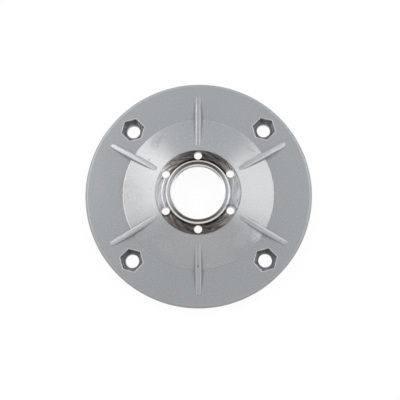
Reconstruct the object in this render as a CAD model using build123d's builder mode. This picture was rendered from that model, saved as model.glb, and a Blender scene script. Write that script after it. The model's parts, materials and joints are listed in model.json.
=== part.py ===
"""Motor flange of a gearbox: a one-piece die casting with machined seats, drawn in millimetres.

The part lies on its motor face. Z runs from that face towards the gearbox, along the axis of
the bore, and the origin is the centre of the motor face.
"""
from build123d import *

import os
from math import atan, cos, radians, tan

# Flange plate, from the motor face at Z = 0 up to the face that carries the sockets
flange_diameter = 200.0
flange_thickness = 13.0
rim_round = 2.2
rim_draft = 1.0  # degrees, the rim narrows towards the motor
motor_edge_chamfer = 0.5

# Seat for the motor's pilot, and the cast hollow behind it
pilot_margin = 17.5  # from the circle of the motor bolts in to the seat
pilot_depth = 4.5
pilot_chamfer = 0.6
pilot_ledge = 6.0  # width of the ring that the pilot comes down to
hollow_draft = 8.0  # degrees
hollow_round = 3.0

# Motor bolts, each with a hexagonal socket for its head
motor_bolt_margin = 17.5  # from the rim in to the circle of the bolts
motor_bolt_count = 4
motor_bolt_start = 45.0  # degrees from X
motor_bolt_hole_diameter = 12.0
socket_sides = 6
socket_flats = 18.0
socket_depth = 7.5
socket_draft = 5.0  # degrees
socket_corner_round = 0.8
socket_floor_round = 0.6
socket_mouth_round = 0.4

# Cone between the plate and the hub
cone_foot_margin = 2.0  # from the wall of the pilot's seat out to the foot
cone_foot_step = 0.5
cone_wall = 6.0

# Hub: the machined shoulder that meets the gearbox, and the circle of gearbox bolts in it
gearbox_bolt_circle_diameter = 65.0
gearbox_bolt_count = 6
gearbox_bolt_start = 30.0  # degrees from X
gearbox_bolt_hole_diameter = 7.0
hub_margin = 5.0  # from the circle of the bolts out to the edge of the hub
hub_rise = 9.0  # above the plate's face
hub_wall = 6.0
hub_edge_chamfer = 0.4

# Spigot round the bore, with a turned relief at its root
spigot_margin = 4.5  # from the circle of the gearbox bolts in to the spigot
spigot_height = 3.0
spigot_chamfer = 1.4
relief_width = 1.2
relief_depth = 0.4

# Bore: a turned seat open to the gearbox, and the cast throat below it
spigot_wall = 4.0  # between the spigot's outside and the seat
seat_chamfer = 0.7
seat_ledge = 0.75
throat_height = 2.5
throat_round = 0.6

# Ribs on the gearbox side, one in line with each gearbox bolt, falling from the cone to the plate
rib_start_margin = 0.75  # from the edge of the hub out to where a crest starts, inside the cone
rib_start_drop = 0.8  # below the shoulder
rib_end_margin = 11.0  # from the rim in to the end of a rib
rib_end_height = 0.4  # above the plate's face
rib_bow_radius = 750.0  # of the crest line, which falls faster towards its end
rib_width = 5.1  # at the crest, before its edges are rounded
rib_edge_round = 2.0
rib_draft = 10.0  # degrees
rib_root_depth = 2.0  # how far a rib reaches into the casting

# Levels along the axis
face_level = flange_thickness
shoulder_level = face_level + hub_rise
spigot_level = shoulder_level + spigot_height
under_level = shoulder_level - hub_wall
seat_level = under_level + throat_height

# Radii, from the rim in and from the circle of the gearbox bolts out and in
rim_radius = flange_diameter / 2
rim_motor_radius = rim_radius - flange_thickness * tan(radians(rim_draft))
motor_bolt_circle_radius = rim_radius - motor_bolt_margin
pilot_radius = motor_bolt_circle_radius - pilot_margin
hollow_radius = pilot_radius - pilot_ledge
cone_foot_radius = pilot_radius + cone_foot_margin
cone_start_radius = cone_foot_radius - cone_foot_step
gearbox_bolt_circle_radius = gearbox_bolt_circle_diameter / 2
hub_radius = gearbox_bolt_circle_radius + hub_margin
spigot_radius = gearbox_bolt_circle_radius - spigot_margin
seat_radius = spigot_radius - spigot_wall
throat_radius = seat_radius - seat_ledge

# Cone: its slope, and the height of its outer and inner surfaces over a radius
cone_slope = (shoulder_level - face_level - cone_foot_step) / (cone_start_radius - hub_radius)
cone_wall_height = cone_wall / cos(atan(cone_slope))


def cone_top(radius):
    """Level of the cone's outer surface over a radius."""
    return shoulder_level - (radius - hub_radius) * cone_slope


def cone_under(radius):
    """Level of the cone's inner surface over a radius."""
    return cone_top(radius) - cone_wall_height


# The hollow's drafted wall meets the cone's inner surface, which meets the hub's underside
hollow_wall_slope = tan(radians(hollow_draft))
hollow_top_radius = hollow_radius - (cone_under(hollow_radius) - pilot_depth) / (
    1 / hollow_wall_slope - cone_slope
)
hub_under_radius = hub_radius + (shoulder_level - cone_wall_height - under_level) / cone_slope

# Ribs: the ends of a crest line, and the width of a rib's section at its own foot
rib_start_radius = hub_radius + rib_start_margin
rib_end_radius = rim_radius - rib_end_margin
rib_start_level = shoulder_level - rib_start_drop
rib_end_level = face_level + rib_end_height
rib_foot_level = face_level - rib_root_depth
rib_foot_width = rib_width + 2 * hub_rise * tan(radians(rib_draft))


def corner(sketch, radius, level):
    """The corner of a section nearest to a radius and a level."""
    return sketch.vertices().sort_by_distance((radius, level))[0]


def off_plate(face):
    """How far the middle of a face lies from the level of the plate's face."""
    return abs(face.center().Z - face_level)


# One rib, along X: a drafted section with rounded edges, swept along its crest line and cut off
# inside the casting
with BuildPart() as rib:
    with BuildLine(Plane.XZ) as crest:
        RadiusArc(
            (rib_start_radius, rib_start_level), (rib_end_radius, rib_end_level), rib_bow_radius
        )
    with BuildSketch(Plane(crest.line @ 0, x_dir=(0, 1, 0), z_dir=crest.line % 0)) as blade:
        with BuildLine():
            Polyline(
                (-rib_width / 2, 0),
                (rib_width / 2, 0),
                (rib_foot_width / 2, -hub_rise),
                (-rib_foot_width / 2, -hub_rise),
                close=True,
            )
        make_face()
        fillet(blade.vertices().sort_by(Axis.Y)[-2:], rib_edge_round)
    sweep(path=crest.line)
    with BuildSketch(Plane.XZ):
        with BuildLine():
            Polyline(
                (rib_start_radius, shoulder_level),
                (rib_end_radius, shoulder_level),
                (rib_end_radius, rib_foot_level),
                (cone_foot_radius, rib_foot_level),
                (rib_start_radius, cone_top(rib_start_radius) - rib_root_depth),
                close=True,
            )
        make_face()
    extrude(amount=rib_foot_width, both=True, mode=Mode.INTERSECT)

# The hollow of one socket: a drafted hexagon with rounded corners and a rounded floor
with BuildPart() as socket:
    with BuildSketch(Plane.XY.offset(face_level)):
        RegularPolygon(socket_flats / 2, socket_sides, major_radius=False)
    extrude(amount=-socket_depth, taper=socket_draft)
    fillet(socket.edges().filter_by(Plane.XY, reverse=True), socket_corner_round)
    fillet(socket.faces().sort_by(Axis.Z)[0].edges(), socket_floor_round)

# The casting as it would be turned: half of its section, revolved about the axis
with BuildPart() as motor_flange:
    with BuildSketch(Plane.XZ) as section:
        with BuildLine():
            Polyline(
                (throat_radius, under_level),
                (throat_radius, seat_level),
                (seat_radius, seat_level),
                (seat_radius, spigot_level),
                (spigot_radius, spigot_level),
                (spigot_radius, shoulder_level - relief_depth),
                (spigot_radius + relief_width, shoulder_level - relief_depth),
                (spigot_radius + relief_width, shoulder_level),
                (hub_radius, shoulder_level),
                (cone_start_radius, face_level + cone_foot_step),
                (cone_foot_radius, face_level),
                (rim_radius, face_level),
                (rim_motor_radius, 0),
                (pilot_radius, 0),
                (pilot_radius, pilot_depth),
                (hollow_radius, pilot_depth),
                (hollow_top_radius, cone_under(hollow_top_radius)),
                (hub_under_radius, under_level),
                close=True,
            )
        make_face()
        fillet(corner(section, rim_radius, face_level), rim_round)
        fillet(corner(section, hollow_top_radius, cone_under(hollow_top_radius)), hollow_round)
        fillet(corner(section, hub_under_radius, under_level), hollow_round)
        fillet(corner(section, throat_radius, under_level), throat_round)
        chamfer(corner(section, rim_motor_radius, 0), motor_edge_chamfer)
        chamfer(corner(section, pilot_radius, 0), pilot_chamfer)
        chamfer(corner(section, seat_radius, spigot_level), seat_chamfer)
        chamfer(corner(section, spigot_radius, spigot_level), spigot_chamfer)
        chamfer(corner(section, hub_radius, shoulder_level), hub_edge_chamfer)
    revolve(axis=Axis.Z)

    # Sockets for the heads of the motor bolts, one corner of each pointing away from the axis
    with PolarLocations(motor_bolt_circle_radius, motor_bolt_count, motor_bolt_start):
        add(socket.part, mode=Mode.SUBTRACT)
    plate = motor_flange.faces().filter_by(Axis.Z).sort_by(off_plate)[0]
    mouths = plate.inner_wires().sort_by(SortBy.LENGTH)[:motor_bolt_count]
    fillet(mouths.edges(), socket_mouth_round)

    # Through holes for the motor bolts and the gearbox bolts
    with Locations(Plane.XY.offset(face_level)):
        with PolarLocations(motor_bolt_circle_radius, motor_bolt_count, motor_bolt_start):
            Hole(motor_bolt_hole_diameter / 2)
    with Locations(Plane.XY.offset(shoulder_level)):
        with PolarLocations(gearbox_bolt_circle_radius, gearbox_bolt_count, gearbox_bolt_start):
            Hole(gearbox_bolt_hole_diameter / 2)

    # Ribs
    with PolarLocations(0, gearbox_bolt_count, gearbox_bolt_start):
        add(rib.part)

motor_flange.part.label = "motor_flange"

os.makedirs("parts", exist_ok=True)
export_step(motor_flange.part, "parts/motor_flange.step")
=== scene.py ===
"""Looks of a gearbox motor flange: its enamel, its turned metal, the studio and the camera.

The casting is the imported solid. One material covers it and tells the painted surfaces from the
turned ones by where they lie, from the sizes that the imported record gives. Lengths are in
metres, and in millimetres inside the material.
"""
from __future__ import annotations

import json
import logging
import math
from dataclasses import dataclass
from enum import Enum
from typing import ClassVar

import bmesh
import bpy
from mathutils import Matrix, Vector


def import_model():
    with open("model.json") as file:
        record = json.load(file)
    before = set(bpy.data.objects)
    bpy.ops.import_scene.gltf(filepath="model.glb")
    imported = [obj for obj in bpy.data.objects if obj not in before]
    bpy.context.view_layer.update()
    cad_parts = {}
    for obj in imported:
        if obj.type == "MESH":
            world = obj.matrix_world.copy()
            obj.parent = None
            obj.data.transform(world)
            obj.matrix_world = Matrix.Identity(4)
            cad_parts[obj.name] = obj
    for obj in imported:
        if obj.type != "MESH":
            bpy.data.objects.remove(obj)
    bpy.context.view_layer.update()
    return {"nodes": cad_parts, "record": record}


LOG = logging.getLogger("motor_flange")
MM = 0.001
Colour = tuple[float, float, float]
Socket = bpy.types.NodeSocket
WHITE: Colour = (1.0, 1.0, 1.0)


class MarkKind(Enum):
    """What a mark on the casting looks like."""

    SPOT = "an even patch: a pore, a speck of dirt or a light nick"
    SCUFF = "fine scratches side by side"
    RING = "a dull ring that a screw head left at one side of its hole"


@dataclass(frozen=True)
class Sizes:
    """Sizes of the casting in millimetres, for telling its surfaces apart."""

    shoulder: float
    bolt_circle_radius: float
    screw_circle_radius: float
    spigot_radius: float
    seat_radius: float
    pilot_radius: float
    hub_rise: float = 9.0
    hub_margin: float = 5.0
    hub_wall: float = 6.0
    hub_edge: float = 0.4
    spigot_chamfer: float = 1.4
    pilot_depth: float = 4.5
    pilot_ledge: float = 6.0
    foot_margin: float = 2.0
    bolt_margin: float = 17.5
    socket_flats: float = 18.0
    edge_chamfer: float = 0.5
    rib_count: int = 6
    slack: float = 0.06

    @classmethod
    def from_record(cls, record: dict) -> Sizes:
        """Reads the sizes that the mounts give.

        Args:
            record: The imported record.

        Returns:
            The sizes.
        """
        mounts = {mount["name"]: mount for mount in record["mounts"]}
        return cls(
            shoulder=mounts["gearbox_face"]["pos_m"][2] / MM,
            bolt_circle_radius=mounts["motor_bolts"]["dims"]["pcd_mm"] / 2,
            screw_circle_radius=mounts["gearbox_screws"]["dims"]["pcd_mm"] / 2,
            spigot_radius=mounts["gearbox_spigot"]["dims"]["r_mm"],
            seat_radius=mounts["bore_seat"]["dims"]["r_mm"],
            pilot_radius=mounts["motor_pilot"]["dims"]["r_mm"],
        )

    @property
    def face(self) -> float:
        """The level of the plate's face."""
        return self.shoulder - self.hub_rise

    @property
    def rim_radius(self) -> float:
        """The radius of the plate."""
        return self.bolt_circle_radius + self.bolt_margin

    @property
    def hub_radius(self) -> float:
        """The radius of the hub's edge."""
        return self.screw_circle_radius + self.hub_margin

    @property
    def foot_radius(self) -> float:
        """The radius of the cone's foot."""
        return self.pilot_radius + self.foot_margin


@dataclass(frozen=True)
class Step:
    """A smooth step, with the result below it and the result above it."""

    low: float
    high: float
    start: float = 0.0
    end: float = 1.0


@dataclass(frozen=True)
class Band:
    """A range, and how far a mask of it fades outside its bounds."""

    low: float
    high: float
    soft: float


@dataclass(frozen=True)
class Noise:
    """Noise: its cells to a unit, its octaves, and how strong the finer octaves are."""

    scale: float
    detail: float = 2.0
    roughness: float = 0.5


class NodeGraph:
    """A node tree that grows by one short call per node."""

    to_number = ("LENGTH", "DOT_PRODUCT")

    def __init__(self, tree: bpy.types.NodeTree) -> None:
        """Starts from an emptied tree.

        Args:
            tree: The node tree to build in.
        """
        self.tree = tree
        tree.nodes.clear()

    def feed(self, socket: Socket, value: object) -> None:
        """Links a socket to another, or sets its value.

        Args:
            socket: The input to feed.
            value: The output to link it to, or its value.
        """
        if isinstance(value, Socket):
            self.tree.links.new(value, socket)
        elif socket.type == "RGBA":
            socket.default_value = (*value, 1.0)
        else:
            socket.default_value = value

    def add(
        self, kind: str, inputs: dict[str | int, object] | None = None, **settings: object
    ) -> bpy.types.Node:
        """Adds a node.

        Args:
            kind: The node's Blender type.
            inputs: What its inputs get, each by its name or its place.
            **settings: Properties of the node.

        Returns:
            The new node.
        """
        node = self.tree.nodes.new(kind)
        for name, value in settings.items():
            setattr(node, name, value)
        for place, value in (inputs or {}).items():
            self.feed(node.inputs[place], value)
        return node

    def math(self, operation: str, *values: object, clamp: bool = False) -> Socket:
        """A Math node.

        Args:
            operation: The node's operation.
            *values: Its inputs, as sockets or numbers.
            clamp: Whether the result is kept between 0 and 1.

        Returns:
            The result.
        """
        inputs = dict(enumerate(values))
        node = self.add("ShaderNodeMath", inputs, operation=operation, use_clamp=clamp)
        return node.outputs[0]

    def product(self, first: object, *others: object) -> Socket:
        """Multiplies masks.

        Args:
            first: The first mask.
            *others: The masks or numbers that it is multiplied by.

        Returns:
            The product.
        """
        for other in others:
            first = self.math("MULTIPLY", first, other)
        return first

    def vector(self, operation: str, *values: object) -> Socket:
        """A Vector Math node.

        Args:
            operation: The node's operation.
            *values: Its inputs, as sockets or triples.

        Returns:
            The result, which is a number for a length or a dot product.
        """
        node = self.add("ShaderNodeVectorMath", dict(enumerate(values)), operation=operation)
        return node.outputs["Value" if operation in self.to_number else "Vector"]

    def scaled(self, vector: Socket, x: float, y: float, z: float) -> Socket:
        """A vector with each coordinate multiplied by a factor of its own."""
        return self.vector("MULTIPLY", vector, (x, y, z))

    def turned(self, vector: Socket, angle: object) -> Socket:
        """A vector turned about Z by an angle in radians."""
        inputs = {"Vector": vector, "Angle": angle}
        return self.add("ShaderNodeVectorRotate", inputs, rotation_type="Z_AXIS").outputs[0]

    def parts(self, vector: Socket) -> bpy.types.bpy_prop_collection:
        """The X, Y and Z of a vector."""
        return self.add("ShaderNodeSeparateXYZ", {0: vector}).outputs

    def step(self, value: Socket, step: Step, origin: float = 0.0) -> Socket:
        """A smooth step.

        Args:
            value: What is stepped.
            step: The step.
            origin: What its bounds are counted from.

        Returns:
            The result.
        """
        bounds = (origin + step.low, origin + step.high)
        inputs = dict(enumerate((value, *bounds, step.start, step.end)))
        return self.add("ShaderNodeMapRange", inputs, interpolation_type="SMOOTHSTEP").outputs[0]

    def band(self, value: Socket, band: Band, origin: float = 0.0) -> Socket:
        """A mask of the values in a range.

        Args:
            value: What is tested.
            band: The range.
            origin: What its bounds are counted from.

        Returns:
            1 between the bounds, falling to 0 outside them.
        """
        rise = self.step(value, Step(band.low - band.soft, band.low), origin)
        fall = self.step(value, Step(band.high, band.high + band.soft, 1.0, 0.0), origin)
        return self.product(rise, fall)

    def noise(self, vector: Socket, noise: Noise) -> Socket:
        """Noise from 0 to 1.

        Args:
            vector: The coordinates.
            noise: The noise.

        Returns:
            Its value.
        """
        inputs = {
            "Vector": vector,
            "Scale": noise.scale,
            "Detail": noise.detail,
            "Roughness": noise.roughness,
        }
        return self.add("ShaderNodeTexNoise", inputs).outputs[0]

    def about(self, middle: float, spread: float, noise: Socket) -> Socket:
        """A number that varies about its middle with a noise, by up to the spread each way."""
        return self.math("MULTIPLY_ADD", noise, 2 * spread, middle - spread)

    def mix(self, factor: object, first: object, second: object) -> Socket:
        """A mix of two colours.

        Args:
            factor: The share of the second colour, from 0 to 1.
            first: The first colour, as a socket or a triple.
            second: The second colour, as a socket or a triple.

        Returns:
            The mixed colour.
        """
        node = self.add("ShaderNodeMix", {0: factor}, data_type="RGBA")
        inputs = [socket for socket in node.inputs if socket.type == "RGBA"]
        for socket, colour in zip(inputs, (first, second)):
            self.feed(socket, colour)
        return next(socket for socket in node.outputs if socket.type == "RGBA")

    def layer(self, colour: Socket, over: object, *shares: object) -> Socket:
        """Lays a colour over another one.

        Args:
            colour: The colour so far.
            over: The colour that is laid over it.
            *shares: Masks and numbers, whose product is the share of the colour on top.

        Returns:
            The mixed colour.
        """
        return self.mix(self.product(*shares), colour, over)

    def bump(self, height: Socket, distance: float) -> Socket:
        """A normal bent by a height from 0 to 1, where 1 is a distance in metres."""
        return self.add("ShaderNodeBump", {"Height": height, "Distance": distance}).outputs[0]


@dataclass(frozen=True)
class Place:
    """Where a point of the casting lies, in millimetres from the middle of its motor face."""

    point: Socket
    plan: Socket
    radius: Socket
    height: Socket

    @classmethod
    def of(cls, graph: NodeGraph) -> Place:
        """Reads the place from the object coordinates.

        Args:
            graph: The material's nodes.

        Returns:
            The place.
        """
        metres = graph.add("ShaderNodeTexCoord").outputs["Object"]
        point = graph.scaled(metres, 1.0 / MM, 1.0 / MM, 1.0 / MM)
        plan = graph.scaled(point, 1.0, 1.0, 0.0)
        return cls(point, plan, graph.vector("LENGTH", plan), graph.parts(point)[2])

    def from_socket(self, graph: NodeGraph, sizes: Sizes) -> Socket:
        """How far the point lies from the middle of the nearest socket, square to its flats.

        Args:
            graph: The material's nodes.
            sizes: The casting's sizes.

        Returns:
            The distance, which is half of the width across flats on a socket's edge.
        """
        diagonal, slant = math.pi / 4, math.pi / 6
        middle = sizes.bolt_circle_radius * math.cos(diagonal)
        quadrant = graph.vector("ABSOLUTE", self.plan)
        local = graph.vector("SUBTRACT", quadrant, (middle, middle, 0.0))
        corner_out = graph.turned(local, -diagonal)
        folded = graph.vector("ABSOLUTE", corner_out)
        slanted = graph.vector("DOT_PRODUCT", folded, (math.cos(slant), math.sin(slant), 0.0))
        return graph.math("MAXIMUM", slanted, graph.parts(folded)[1])

    def across_rib(self, graph: NodeGraph, sizes: Sizes) -> Socket:
        """How far the point lies sideways of the nearest rib's middle.

        Args:
            graph: The material's nodes.
            sizes: The casting's sizes.

        Returns:
            The distance, in millimetres.
        """
        x, y, _ = graph.parts(self.plan)
        around = graph.math("ARCTAN2", y, x)
        sector = math.tau / sizes.rib_count
        within = graph.math("WRAP", around, sector, 0.0)
        off_rib = graph.math("SUBTRACT", within, sector / 2)
        sideways = graph.math("MULTIPLY", self.radius, graph.math("SINE", off_rib))
        return graph.math("ABSOLUTE", sideways)

    def above_cone(self, graph: NodeGraph, sizes: Sizes) -> Socket:
        """How far the point lies above the shoulder, the cone and the plate.

        Args:
            graph: The material's nodes.
            sizes: The casting's sizes.

        Returns:
            The distance, in millimetres.
        """
        slope = -sizes.hub_rise / (sizes.foot_radius - sizes.hub_radius)
        level_at_axis = sizes.face - sizes.foot_radius * slope
        cone = graph.math("MULTIPLY_ADD", self.radius, slope, level_at_axis)
        surface = graph.math("MINIMUM", graph.math("MAXIMUM", cone, sizes.face), sizes.shoulder)
        return graph.math("SUBTRACT", self.height, surface)


@dataclass(frozen=True)
class Mark:
    """A mark on the gearbox side, placed by its middle in plan, in millimetres and degrees.

    A ring's width and length are its inner and its outer radius.
    """

    x: float
    y: float
    length: float
    width: float
    turn: float = 0.0
    strength: float = 1.0
    kind: MarkKind = MarkKind.SPOT

    ring_fade: ClassVar[float] = 0.4
    ring_start: ClassVar[float] = -0.5
    ring_full: ClassVar[float] = 0.8
    solid_share: ClassVar[float] = 0.45
    outline: ClassVar[Noise] = Noise(1.4)
    raggedness: ClassVar[float] = 0.15
    scratches: ClassVar[Noise] = Noise(1.0, 3.0, 0.7)
    along_scratch: ClassVar[float] = 0.22
    across_scratch: ClassVar[float] = 1.7
    scratch_lines: ClassVar[Step] = Step(0.46, 0.58)

    def amount(self, graph: NodeGraph, place: Place) -> Socket:
        """How much of the mark a point shows.

        Args:
            graph: The material's nodes.
            place: Where the point lies.

        Returns:
            From 0 outside the mark to its strength in the middle.
        """
        from_middle = graph.vector("SUBTRACT", place.plan, (self.x, self.y, 0.0))
        local = graph.turned(from_middle, math.radians(-self.turn))
        if self.kind is MarkKind.RING:
            away = graph.vector("LENGTH", from_middle)
            ring = graph.band(away, Band(self.width, self.length, self.ring_fade))
            one_side = Step(self.ring_start, self.width * self.ring_full)
            return graph.product(ring, graph.step(graph.parts(local)[0], one_side), self.strength)
        reach = graph.scaled(local, 2.0 / self.length, 2.0 / self.width, 0.0)
        ragged = graph.about(0.0, self.raggedness, graph.noise(place.plan, self.outline))
        away = graph.math("ADD", graph.vector("LENGTH", reach), ragged)
        inside = graph.step(away, Step(self.solid_share, 1.0, self.strength, 0.0))
        if self.kind is MarkKind.SCUFF:
            drawn_out = graph.scaled(local, self.along_scratch, self.across_scratch, 0.0)
            lines = graph.noise(drawn_out, self.scratches)
            inside = graph.product(inside, graph.step(lines, self.scratch_lines))
        return inside


@dataclass(frozen=True)
class Marks:
    """Marks that bring the same colour."""

    colour: Colour
    marks: tuple[Mark, ...]

    def over(self, graph: NodeGraph, place: Place, side: Socket, colour: Socket) -> Socket:
        """Lays the marks over a colour.

        Args:
            graph: The material's nodes.
            place: Where the point lies.
            side: A mask of the surfaces that can carry them.
            colour: The colour under the marks.

        Returns:
            The colour with the marks.
        """
        for mark in self.marks:
            colour = graph.layer(colour, self.colour, mark.amount(graph, place), side)
        return colour


@dataclass(frozen=True)
class Paint:
    """Satin grey enamel over a cast surface, with its dirt, its wear, painted highlights on its
    edges and painted shade in its sockets.
    """

    colour: Colour = (0.2705, 0.288, 0.304)
    shade: float = 0.94
    cloud: Noise = Noise(0.03, 3.0)
    grain: Noise = Noise(1.0, 2.0, 0.6)
    grain_contrast: float = 0.11
    roughness: float = 0.25
    unevenness: float = 0.12
    rim: Step = Step(-2.7, -2.0)
    rim_roughness: float = 0.2
    ior: float = 1.7
    peel: Noise = Noise(1.2, 2.0, 0.6)
    peel_height: float = 60e-6
    # Painted highlight: a light line on the cone's foot, strong at the left, where the foot faces
    # the left lamp.
    foot_highlight: Colour = (0.78, 0.79, 0.80)
    foot: Band = Band(-0.9, -0.3, 0.3)
    foot_level: Band = Band(0.0, 1.0, 0.2)
    foot_share: Step = Step(-62.0, -54.0, 0.45, 0.05)
    # Painted highlight on the rounded edges of the socket mouths and of the ribs.
    edge_highlight: Colour = (0.50, 0.52, 0.56)
    mouth: Band = Band(-0.2, 0.5, 0.3)
    mouth_level: Band = Band(-0.6, 0.1, 0.1)
    mouth_share: float = 0.65
    socket: Step = Step(0.0, 0.2, 1.0, 0.0)
    socket_level: Step = Step(-1.2, -0.4, 1.0, 0.0)
    # Painted shade: how much darker the enamel is drawn deep in the sockets.
    socket_shade: float = 0.62
    # Colour of a dark line drawn all round the hub's chamfer.
    dirt: Colour = (0.10, 0.10, 0.105)
    hub_edge: Band = Band(-0.5, 0.1, 0.2)
    hub_edge_level: Step = Step(-0.8, -0.5)
    hub_edge_share: float = 0.45
    rib_edge: Band = Band(1.5, 2.0, 0.45)
    rib_level: Step = Step(0.3, 0.6)
    rib_edge_share: float = 0.3
    marks: tuple[Marks, ...] = (
        Marks(
            (0.11, 0.11, 0.115),
            (
                Mark(-43.2, 30.1, 3.2, 2.1, 45.0),
                Mark(-34.2, 33.8, 1.9, 1.5, 0.0, 0.6),
                Mark(-41.4, 2.9, 2.0, 1.5, 0.0, 0.5),
                Mark(-45.7, 11.0, 1.8, 1.3, 0.0, 0.4),
                Mark(40.2, -7.2, 1.7, 1.3, 0.0, 0.4),
                Mark(58.7, 28.4, 1.7, 1.3, 0.0, 0.5),
                Mark(-31.5, 23.3, 2.2, 1.4, -40.0, 0.6),
                Mark(-0.2, -64.0, 2.8, 2.2, 90.0, 0.9),
                Mark(61.7, 62.5, 2.4, 1.6, -45.0, 0.9),
            ),
        ),
        Marks(
            (0.09, 0.09, 0.095),
            (
                Mark(-37.5, 45.5, 17.0, 11.0, 55.0, 0.95, MarkKind.SCUFF),
                Mark(-58.0, -3.0, 50.0, 26.0, -68.0, 0.45, MarkKind.SCUFF),
                Mark(-32.3, 51.1, 8.0, 6.0, 55.0, 0.4, MarkKind.SCUFF),
                Mark(47.0, 38.5, 12.0, 6.0, -20.0, 0.7, MarkKind.SCUFF),
            ),
        ),
        Marks(
            (0.56, 0.57, 0.59),
            (
                Mark(50.8, -37.6, 14.0, 11.0, 54.0, 0.85, MarkKind.SCUFF),
                Mark(-29.0, -47.0, 24.0, 15.0, -30.0, 0.15, MarkKind.SCUFF),
                Mark(38.0, -40.0, 22.0, 14.0, 48.0, 0.22, MarkKind.SCUFF),
                Mark(48.5, 40.6, 6.0, 0.6, -48.0, 0.35),
            ),
        ),
    )

    def coat(self, graph: NodeGraph, place: Place, grain: Socket) -> Socket:
        """The enamel's own colour, with faint clouds and a fine grain.

        Args:
            graph: The material's nodes.
            place: Where the point lies.
            grain: The noise of the grain.

        Returns:
            The colour.
        """
        darker = tuple(channel * self.shade for channel in self.colour)
        colour = graph.mix(graph.noise(place.point, self.cloud), darker, self.colour)
        return graph.vector("MULTIPLY", colour, graph.about(1.0, self.grain_contrast, grain))

    def edges(self, graph: NodeGraph, place: Place, sizes: Sizes, colour: Socket) -> Socket:
        """Lays the looks of the casting's edges and sockets over the enamel.

        Args:
            graph: The material's nodes.
            place: Where the point lies.
            sizes: The casting's sizes.
            colour: The enamel's colour.

        Returns:
            The colour, with a painted highlight on the cone's foot that is strongest at the left,
            painted highlights at the mouths of the sockets and on the edges of the ribs, painted
            shade in the sockets and a dark line round the hub's chamfer.
        """
        # Painted highlight on the cone's foot, strongest at the left side.
        foot = graph.band(place.radius, self.foot, sizes.foot_radius)
        foot_level = graph.band(place.height, self.foot_level, sizes.face)
        foot_share = graph.step(graph.parts(place.plan)[0], self.foot_share)
        colour = graph.layer(colour, self.foot_highlight, foot, foot_level, foot_share)
        from_flat, flat = place.from_socket(graph, sizes), sizes.socket_flats / 2
        # Painted highlight round the mouths of the sockets.
        mouth = graph.band(from_flat, self.mouth, flat)
        mouth_level = graph.band(place.height, self.mouth_level, sizes.face)
        colour = graph.layer(colour, self.edge_highlight, mouth, mouth_level, self.mouth_share)
        # Painted shade in the sockets, below their mouths.
        socket_level = graph.step(place.height, self.socket_level, sizes.face)
        socket = graph.step(from_flat, self.socket, flat)
        socket_painted_shade = graph.vector("MULTIPLY", colour, (self.socket_shade,) * 3)
        colour = graph.layer(colour, socket_painted_shade, socket_level, socket)
        # A dark line all round the hub's chamfer.
        hub_edge = graph.band(place.radius, self.hub_edge, sizes.hub_radius)
        hub_edge_level = graph.step(place.height, self.hub_edge_level, sizes.shoulder)
        colour = graph.layer(colour, self.dirt, hub_edge, hub_edge_level, self.hub_edge_share)
        # Painted highlight along both edges of each rib's crest.
        rib_level = graph.step(place.above_cone(graph, sizes), self.rib_level)
        rib_edge = graph.band(place.across_rib(graph, sizes), self.rib_edge)
        return graph.layer(colour, self.edge_highlight, rib_level, rib_edge, self.rib_edge_share)

    def shader(self, graph: NodeGraph, place: Place, sizes: Sizes, side: Socket) -> Socket:
        """Builds the enamel.

        Args:
            graph: The material's nodes.
            place: Where the point lies.
            sizes: The casting's sizes.
            side: A mask of the gearbox side.

        Returns:
            The shader.
        """
        grain = graph.noise(place.point, self.grain)
        colour = self.edges(graph, place, sizes, self.coat(graph, place, grain))
        for marks in self.marks:
            colour = marks.over(graph, place, side, colour)
        on_rim = graph.step(place.radius, self.rim, sizes.rim_radius)
        off_rim = graph.math("SUBTRACT", 1.0, on_rim)
        peel = graph.product(graph.noise(place.point, self.peel), off_rim)
        rough = graph.about(self.roughness, self.unevenness, grain)
        inputs = {
            "Base Color": colour,
            "Roughness": graph.math("MULTIPLY_ADD", on_rim, self.rim_roughness, rough),
            "IOR": self.ior,
            "Normal": graph.bump(peel, self.peel_height),
        }
        return graph.add("ShaderNodeBsdfPrincipled", inputs).outputs[0]


@dataclass(frozen=True)
class HubMasks:
    """Masks on the hub: its shoulder, what lies off its two sides, and the slanting strokes."""

    shoulder: Socket
    off_side: Socket
    strokes: Socket


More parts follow.
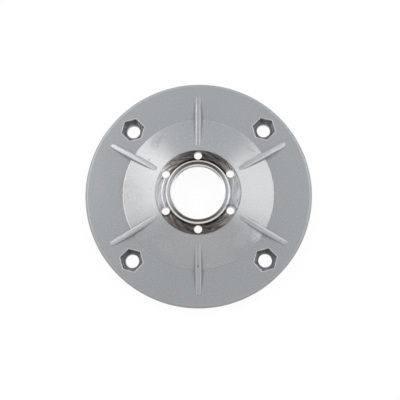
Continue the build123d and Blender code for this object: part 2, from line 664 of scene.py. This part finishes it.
@dataclass(frozen=True)
class TurnedMetal:
    """Bare aluminium with the grooves of a turning tool and slanting strokes across them."""

    dark: Colour = (0.215, 0.205, 0.215)
    light: Colour = (0.70, 0.745, 0.80)
    # Colour of the polished chamfer and bore, and of painted highlights on the hub's shoulder.
    polish_and_highlight: Colour = (0.89, 0.89, 0.89)
    # Painted shade: a dark brown laid at the front and back of the shoulder and round the spigot's
    # root.
    painted_shade_brown: Colour = (0.085, 0.058, 0.042)
    # Painted reflection: the brown of dark surroundings, laid on the metal at the hub's front and
    # back.
    painted_reflection_brown: Colour = (0.34, 0.16, 0.05)
    roughness: float = 0.3
    anisotropy: float = 0.8
    quarter_turn: float = 0.25
    grooves: Noise = Noise(2.2, 4.0, 0.7)
    groove_lines: Step = Step(0.3, 0.7)
    groove_height: float = 3e-6
    stroke_slant: float = 0.26
    stroke_scale: float = 11.0
    stroke_step: float = 0.3
    stroke: Noise = Noise(1.0, 3.0, 0.7)
    stroke_lines: Step = Step(0.42, 0.6)
    side_strokes: float = 0.55
    front_strokes: float = 0.9
    shoulder: Band = Band(-0.5, 0.1, 0.1)
    off_side: Step = Step(8.0, 21.0)
    rim: Step = Step(-2.4, -1.9)
    rim_share: float = 0.2
    edge: Band = Band(-0.8, 0.0, 0.2)
    edge_darkening: float = 0.3
    front_back_reflection_share: float = 0.25
    stroke_highlights: Step = Step(8.0, 20.0, 0.3, 0.55)
    front_back_shade_share: float = 0.3
    root: Band = Band(0.0, 1.6, 1.0)
    patches: Noise = Noise(0.09, 2.0)
    patch_share: Step = Step(0.35, 0.6, 0.4, 0.95)
    arc: Band = Band(3.2, 3.7, 0.3)
    arc_side: Step = Step(-28.5, -26.5, 1.0, 0.0)
    arc_highlight_share: float = 0.9
    spigot_start: float = 1.0
    chamfer_share: float = 0.95
    land_share: float = 0.25
    land_reflection_share: float = 0.3
    seat_share: float = 0.9
    marks: tuple[Marks, ...] = (
        Marks(
            (0.20, 0.22, 0.30),
            (Mark(28.15, -16.25, 5.6, 4.5, 74.0, 0.75, MarkKind.RING),),
        ),
        Marks(
            (0.07, 0.065, 0.06),
            (
                Mark(25.8, 21.4, 2.4, 1.1, -20.0, 0.8),
                Mark(29.6, 20.6, 1.8, 1.0, -30.0, 0.7),
                Mark(-28.15, -16.25, 5.0, 4.1, -75.0, 0.8, MarkKind.RING),
                Mark(-31.2, 12.2, 1.9, 1.2, 20.0, 0.7),
                Mark(-24.6, 18.6, 1.8, 0.9, 60.0, 0.5),
                Mark(-23.5, 23.5, 18.0, 9.0, 45.0, 0.45, MarkKind.SCUFF),
            ),
        ),
        Marks(
            (0.95, 0.95, 0.96),
            (
                Mark(-18.6, -31.9, 2.6, 1.6, -30.0),
                Mark(12.9, -32.0, 4.2, 1.1, 20.0),
                Mark(33.0, 6.0, 9.0, 0.5, -80.0, 0.35),
            ),
        ),
    )

    def strokes(self, graph: NodeGraph, place: Place) -> Socket:
        """The slanting strokes, as noise that runs along spirals round the axis.

        Args:
            graph: The material's nodes.
            place: Where the point lies.

        Returns:
            From 0 on a dull stroke to 1 on a bright one.
        """
        around = graph.vector("NORMALIZE", place.plan)
        wound = graph.math("LOGARITHM", place.radius, math.e)
        spiral = graph.turned(around, graph.math("MULTIPLY", wound, -1.0 / self.stroke_slant))
        along = graph.scaled(spiral, self.stroke_scale, self.stroke_scale, 0.0)
        outwards = graph.math("MULTIPLY", place.radius, self.stroke_step)
        step = graph.add("ShaderNodeCombineXYZ", {2: outwards}).outputs[0]
        fine = graph.noise(graph.vector("ADD", along, step), self.stroke)
        return graph.step(fine, self.stroke_lines)

    def bare(self, graph: NodeGraph, grooves: Socket, hub: HubMasks) -> Socket:
        """The clean metal's colour: grooves all over, with strokes across them on the hub.

        Args:
            graph: The material's nodes.
            grooves: The noise of the grooves.
            hub: The masks on the hub.

        Returns:
            The colour.
        """
        more_strokes = self.front_strokes - self.side_strokes
        share = graph.math("MULTIPLY_ADD", hub.off_side, more_strokes, self.side_strokes)
        slanting = graph.product(hub.shoulder, share)
        lines = graph.step(grooves, self.groove_lines)
        tone = graph.product(lines, graph.math("SUBTRACT", 1.0, slanting))
        tone = graph.math("MULTIPLY_ADD", hub.strokes, slanting, tone)
        return graph.mix(tone, self.dark, self.light)

    def shoulder_with_painted_light(
        self, graph: NodeGraph, place: Place, sizes: Sizes, hub: HubMasks, colour: Socket
    ) -> Socket:
        """Lays the looks of the hub's shoulder over the clean metal.

        Args:
            graph: The material's nodes.
            place: Where the point lies.
            sizes: The casting's sizes.
            hub: The masks on the hub.
            colour: The clean metal's colour.

        Returns:
            The colour, with a painted brown reflection, painted highlights on the strokes and
            painted shade between them at the front and the back, painted shade round the spigot's
            root there, and a painted highlight on an arc at the spigot's left.
        """
        x = graph.parts(place.plan)[0]
        rim = graph.step(place.radius, self.rim, sizes.hub_radius)
        colour = graph.layer(colour, self.light, hub.shoulder, rim, self.rim_share)
        # A dark line all round the outer edge of the shoulder, in the same dark brown.
        edge = graph.band(place.radius, self.edge, sizes.hub_radius)
        colour = graph.layer(colour, self.painted_shade_brown, edge, hub.shoulder, self.edge_darkening)
        front_and_back = graph.product(hub.shoulder, hub.off_side)
        # Painted reflection: a brown tint at the front and the back of the shoulder.
        colour = graph.layer(colour, self.painted_reflection_brown, front_and_back, self.front_back_reflection_share)
        # Painted highlight: the strokes at the front and the back are drawn bright, more so away
        # from the middle.
        stroke_highlights = graph.step(graph.math("ABSOLUTE", x), self.stroke_highlights)
        colour = graph.layer(colour, self.polish_and_highlight, front_and_back, hub.strokes, stroke_highlights)
        # Painted shade between the strokes at the front and the back.
        between = graph.math("SUBTRACT", 1.0, hub.strokes)
        colour = graph.layer(colour, self.painted_shade_brown, front_and_back, between, self.front_back_shade_share)
        # Painted shade in patches round the spigot's root, at the front and the back.
        root = graph.band(place.radius, self.root, sizes.spigot_radius)
        patches = graph.step(graph.noise(place.plan, self.patches), self.patch_share)
        colour = graph.layer(colour, self.painted_shade_brown, root, patches, front_and_back)
        # Painted highlight on an arc round the spigot, at its left side only.
        arc = graph.band(place.radius, self.arc, sizes.spigot_radius)
        left = graph.step(x, self.arc_side)
        return graph.layer(colour, self.polish_and_highlight, arc, left, hub.shoulder, self.arc_highlight_share)

    def spigot(
        self, graph: NodeGraph, place: Place, sizes: Sizes, off_side: Socket, colour: Socket
    ) -> Socket:
        """Lays the looks of the spigot and the bore over the metal.

        Args:
            graph: The material's nodes.
            place: Where the point lies.
            sizes: The casting's sizes.
            off_side: A mask of what lies off the hub's two sides.
            colour: The metal's colour.

        Returns:
            The colour, polished on the spigot's chamfer and in the bore, and duller between, with
            a painted brown reflection on the land at the front and the back.
        """
        above = graph.math("GREATER_THAN", place.height, sizes.shoulder + self.spigot_start)
        chamfer_start = sizes.spigot_radius - sizes.spigot_chamfer
        chamfer = graph.product(graph.math("GREATER_THAN", place.radius, chamfer_start), above)
        colour = graph.layer(colour, self.polish_and_highlight, chamfer, self.chamfer_share)
        land = graph.product(graph.math("LESS_THAN", place.radius, chamfer_start), above)
        colour = graph.layer(colour, self.dark, land, self.land_share)
        # Painted reflection: a brown tint on the land at the front and the back.
        colour = graph.layer(colour, self.painted_reflection_brown, land, off_side, self.land_reflection_share)
        bore = graph.math("LESS_THAN", place.radius, sizes.seat_radius + sizes.slack)
        return graph.layer(colour, self.polish_and_highlight, bore, self.seat_share)

    def shader(self, graph: NodeGraph, place: Place, sizes: Sizes, side: Socket) -> Socket:
        """Builds the metal.

        Args:
            graph: The material's nodes.
            place: Where the point lies.
            sizes: The casting's sizes.
            side: A mask of the gearbox side.

        Returns:
            The shader.
        """
        along_section = graph.math("SUBTRACT", place.radius, place.height)
        across = graph.add("ShaderNodeCombineXYZ", {0: along_section}).outputs[0]
        grooves = graph.noise(across, self.grooves)
        hub = HubMasks(
            shoulder=graph.band(place.height, self.shoulder, sizes.shoulder),
            off_side=graph.step(graph.math("ABSOLUTE", graph.parts(place.plan)[1]), self.off_side),
            strokes=self.strokes(graph, place),
        )
        colour = self.bare(graph, grooves, hub)
        colour = self.shoulder_with_painted_light(graph, place, sizes, hub, colour)
        colour = self.spigot(graph, place, sizes, hub.off_side, colour)
        for marks in self.marks:
            colour = marks.over(graph, place, side, colour)
        tangent = graph.add("ShaderNodeTangent", direction_type="RADIAL", axis="Z")
        inputs = {
            "Base Color": colour,
            "Metallic": 1.0,
            "Roughness": self.roughness,
            "Anisotropic": self.anisotropy,
            "Anisotropic Rotation": self.quarter_turn,
            "Tangent": tangent.outputs[0],
            "Normal": graph.bump(grooves, self.groove_height),
        }
        return graph.add("ShaderNodeBsdfPrincipled", inputs).outputs[0]


@dataclass(frozen=True)
class CastingFinish:
    """The casting's one material: enamel, with bare metal where it was turned or drilled."""

    sizes: Sizes
    paint: Paint = Paint()
    metal: TurnedMetal = TurnedMetal()
    mark_depth: float = 2.0

    def bare(self, graph: NodeGraph, place: Place) -> Socket:
        """Tells bare metal from enamel.

        Args:
            graph: The material's nodes.
            place: Where the point lies.

        Returns:
            1 on bare metal and 0 on enamel.
        """
        sizes = self.sizes
        above_wall = sizes.shoulder - sizes.hub_wall + sizes.slack
        in_hub = graph.math("LESS_THAN", place.radius, sizes.hub_radius - sizes.hub_edge)
        hub = graph.product(in_hub, graph.math("GREATER_THAN", place.height, above_wall))
        motor_face = graph.math("LESS_THAN", place.height, sizes.edge_chamfer + sizes.slack)
        ledge = graph.product(
            graph.math("LESS_THAN", place.radius, sizes.pilot_radius + sizes.slack),
            graph.math("GREATER_THAN", place.radius, sizes.pilot_radius - sizes.pilot_ledge),
            graph.math("LESS_THAN", place.height, sizes.pilot_depth + sizes.slack),
        )
        return graph.math("MAXIMUM", hub, graph.math("MAXIMUM", motor_face, ledge))

    def material(self) -> bpy.types.Material:
        """Builds the material.

        Returns:
            The material.
        """
        material = bpy.data.materials.new("casting")
        material.use_nodes = True
        graph = NodeGraph(material.node_tree)
        place = Place.of(graph)
        above_cone = place.above_cone(graph, self.sizes)
        side = graph.math("GREATER_THAN", above_cone, -self.mark_depth)
        enamel = self.paint.shader(graph, place, self.sizes, side)
        metal = self.metal.shader(graph, place, self.sizes, side)
        shares = {0: self.bare(graph, place), 1: enamel, 2: metal}
        mixed = graph.add("ShaderNodeMixShader", shares).outputs[0]
        graph.add("ShaderNodeOutputMaterial", {"Surface": mixed})
        return material


def new_object(name: str, data: bpy.types.ID) -> bpy.types.Object:
    """Makes an object and links it to the scene.

    Args:
        name: Its name.
        data: Its mesh, light or camera.

    Returns:
        The object.
    """
    made = bpy.data.objects.new(name, data)
    bpy.context.scene.collection.objects.link(made)
    return made


def stand(placed: bpy.types.Object, location: Vector, facing: Matrix) -> None:
    """Puts a light or a camera in its place.

    Args:
        placed: The light or the camera.
        location: Where it stands.
        facing: Its rotation.
    """
    placed.location = location
    placed.rotation_mode = "QUATERNION"
    placed.rotation_quaternion = facing.to_quaternion()


@dataclass(frozen=True)
class SoftBox:
    """A rectangular studio light that points at the part, placed in degrees and metres."""

    name: str
    azimuth: float
    polar: float
    width: float
    height: float
    radiance: float
    colour: Colour = (1.0, 0.98, 0.965)
    distance: float = 0.75

    def build(self, target: Vector) -> None:
        """Makes the light.

        Args:
            target: The point that it looks at.
        """
        data = bpy.data.lights.new(self.name, "AREA")
        data.shape = "RECTANGLE"
        data.size = self.width
        data.size_y = self.height
        data.color = self.colour
        data.energy = self.radiance * math.pi * self.width * self.height
        around, down = math.radians(self.azimuth), math.radians(self.polar)
        level = math.sin(down)
        out = Vector((math.cos(around) * level, math.sin(around) * level, math.cos(down)))
        upright = (Vector((0.0, 1.0, 0.0)) - out * out.y).normalized()
        facing = Matrix((upright.cross(out), upright, out)).transposed()
        stand(new_object(self.name, data), target + out * self.distance, facing)
        LOG.info("placed light %s", self.name)


@dataclass(frozen=True)
class Studio:
    """The white floor, the surroundings and the lights."""

    floor_half: float = 6.0
    floor_colour: Colour = (0.88, 0.88, 0.88)
    floor_shown: float = 0.95
    falloff: float = 0.9
    boxes: tuple[SoftBox, ...] = (
        SoftBox("left_box", 152.0, 37.0, 0.24, 0.60, 8.45),
        SoftBox("right_box", 20.5, 38.5, 0.30, 0.60, 6.0),
        SoftBox("front_box", 270.0, 27.0, 0.50, 0.34, 0.88, (1.0, 0.84, 0.72)),
    )

    def floor_material(self) -> bpy.types.Material:
        """Builds a matte material that is seen as nearly plain white.

        Returns:
            The material.
        """
        material = bpy.data.materials.new("white_floor")
        material.use_nodes = True
        graph = NodeGraph(material.node_tree)
        path = graph.add("ShaderNodeLightPath").outputs
        seen = graph.math("MAXIMUM", path["Is Camera Ray"], path["Is Glossy Ray"])
        seen = graph.math("MAXIMUM", seen, path["Is Transmission Ray"])
        matte = graph.add("ShaderNodeBsdfDiffuse", {"Color": self.floor_colour}).outputs[0]
        white = graph.add("ShaderNodeEmission", {"Color": WHITE}).outputs[0]
        shares = {0: graph.product(seen, self.floor_shown), 1: matte, 2: white}
        mixed = graph.add("ShaderNodeMixShader", shares).outputs[0]
        graph.add("ShaderNodeOutputMaterial", {"Surface": mixed})
        return material

    def floor(self) -> None:
        """Makes the floor that the part lies on."""
        mesh = bpy.data.meshes.new("floor")
        build = bmesh.new()
        bmesh.ops.create_grid(build, x_segments=1, y_segments=1, size=self.floor_half)
        build.to_mesh(mesh)
        build.free()
        mesh.materials.append(self.floor_material())
        floor = new_object("floor", mesh)

    def world(self) -> None:
        """Sets surroundings that are dark overhead and white towards the horizon."""
        world = bpy.data.worlds.new("studio")
        world.use_nodes = True
        graph = NodeGraph(world.node_tree)
        up = graph.parts(graph.add("ShaderNodeTexCoord").outputs["Generated"])[2]
        down = graph.math("SUBTRACT", 1.0, up, clamp=True)
        inputs = {"Color": WHITE, "Strength": graph.math("POWER", down, self.falloff)}
        background = graph.add("ShaderNodeBackground", inputs).outputs[0]
        graph.add("ShaderNodeOutputWorld", {"Surface": background})
        bpy.context.scene.world = world

    def build(self, target: Vector) -> None:
        """Builds the floor, the surroundings and the lights.

        Args:
            target: The point that the lights look at.
        """
        self.floor()
        self.world()
        for box in self.boxes:
            box.build(target)


@dataclass(frozen=True)
class PhotoCamera:
    """The camera of the photo, which looks down on the part from a little below its axis."""

    frame_px: float = 400.0
    focal_px: float = 933.0
    distance: float = 0.821
    lean: float = -0.163
    turn: float = -0.026
    roll: float = 0.006
    centre_px: tuple[float, float] = (198.285, 193.875)
    sensor: float = 36.0
    near: float = 0.01
    far: float = 30.0

    def build(self, face_height: float) -> None:
        """Makes the camera.

        Args:
            face_height: The height of the plate's face, in metres, whose centre it aims at.
        """
        turned = (
            Matrix.Rotation(self.roll, 3, "Z")
            @ Matrix.Rotation(self.turn, 3, "Y")
            @ Matrix.Rotation(self.lean, 3, "X")
        )
        per_px = self.distance / self.focal_px
        middle = self.frame_px / 2
        across, up = self.centre_px[0] - middle, middle - self.centre_px[1]
        shift = Vector((across * per_px, up * per_px, -self.distance))
        back = turned.transposed()
        data = bpy.data.cameras.new("photo_camera")
        data.sensor_width = self.sensor
        data.lens = self.sensor * self.focal_px / self.frame_px
        data.clip_start = self.near
        data.clip_end = self.far
        camera = new_object("photo_camera", data)
        stand(camera, Vector((0.0, 0.0, face_height)) - back @ shift, back)
        bpy.context.scene.camera = camera


def main() -> None:
    """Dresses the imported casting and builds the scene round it."""
    logging.basicConfig(level=logging.INFO, format="%(name)s: %(message)s")
    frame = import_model()
    sizes = Sizes.from_record(frame["record"])
    casting = frame["nodes"]["motor_flange"]
    casting.data.materials.clear()
    casting.data.materials.append(CastingFinish(sizes).material())
    LOG.info("dressed %s, %d faces", casting.name, len(casting.data.polygons))
    PhotoCamera().build(sizes.face * MM)
    Studio().build(Vector((0.0, 0.0, sizes.face * MM)))
    bpy.context.scene.view_settings.view_transform = "Standard"


if __name__ == "__main__":
    main()
